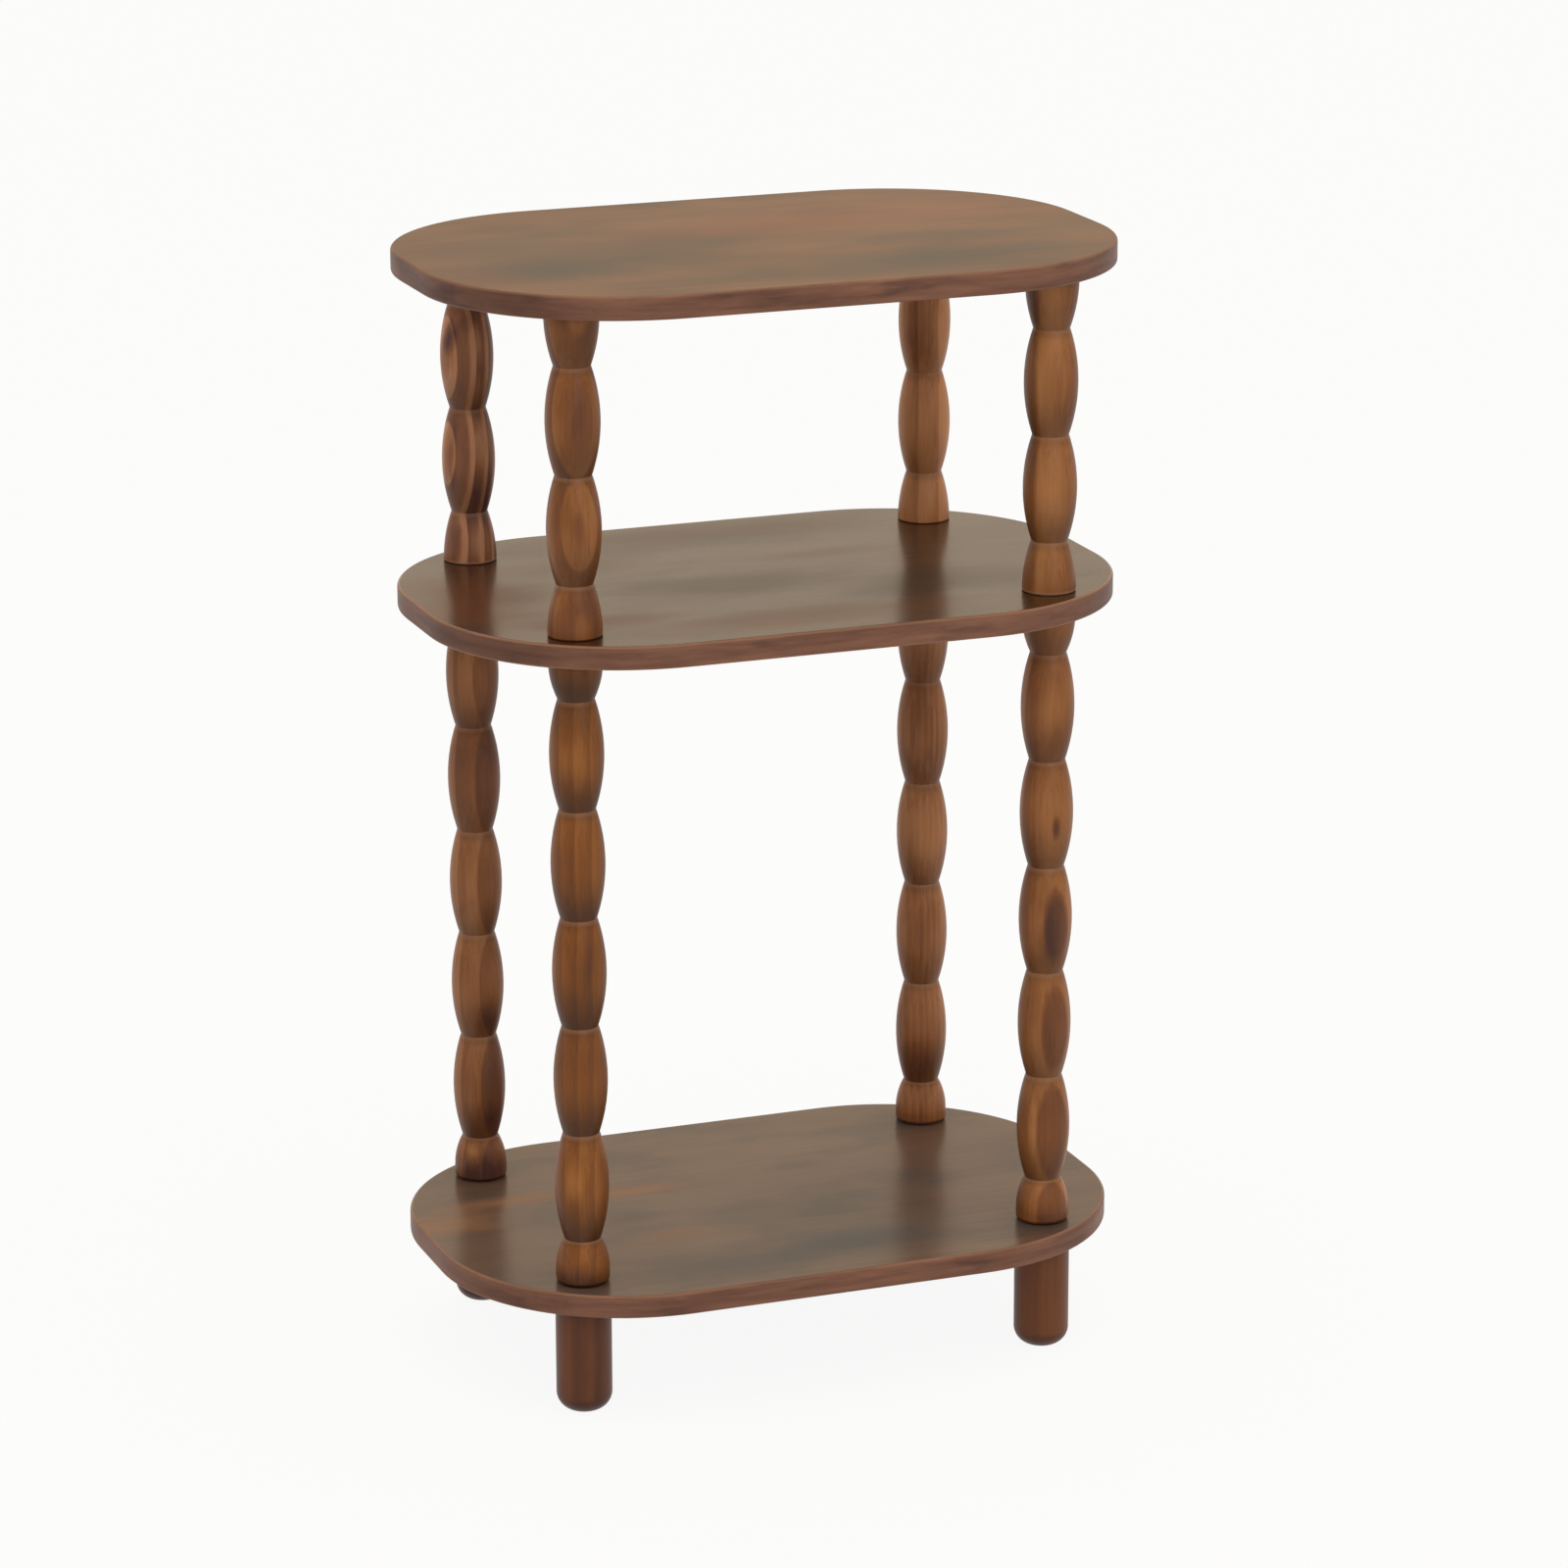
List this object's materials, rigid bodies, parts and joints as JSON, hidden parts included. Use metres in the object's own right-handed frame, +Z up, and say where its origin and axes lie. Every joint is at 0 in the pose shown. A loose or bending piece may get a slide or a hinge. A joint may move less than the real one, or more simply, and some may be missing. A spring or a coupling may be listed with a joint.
{
  "type": "storage table",
  "caption": "Three-tier wooden storage table: round-cornered shelves on bobbin-turned posts with plain round feet.",
  "frame": {"origin": "on the floor under the centre of the shelves", "axes": "+X along the shelves to the right seen from the front, +Y from front to back, +Z up"},
  "size_m": [0.45, 0.3, 0.72],
  "materials": {
    "shelf_wood": "satin stained walnut tone with soft cloudy figure",
    "turned_wood": "satin stained, warm orange-brown, grain upright",
    "foot_wood": "satin stained, darker and redder, grain upright",
    "stud_steel": "zinc plated",
    "insert_brass": "plain"
  },
  "bodies": {
    "root": {"top_shelf": "shelf_wood", "middle_shelf": "shelf_wood", "bottom_shelf": "shelf_wood", "front_left_upper_spindle": "turned_wood", "front_left_lower_spindle": "turned_wood", "front_left_foot": "foot_wood", "front_right_upper_spindle": "turned_wood", "front_right_lower_spindle": "turned_wood", "front_right_foot": "foot_wood", "back_left_upper_spindle": "turned_wood", "back_left_lower_spindle": "turned_wood", "back_left_foot": "foot_wood", "back_right_upper_spindle": "turned_wood", "back_right_lower_spindle": "turned_wood", "back_right_foot": "foot_wood", "top_insert_nuts": "insert_brass", "top_joint_studs": "stud_steel", "middle_joint_studs": "stud_steel", "middle_insert_nuts": "insert_brass", "bottom_joint_studs": "stud_steel", "bottom_insert_nuts": "insert_brass"}
  },
  "joints": []
}
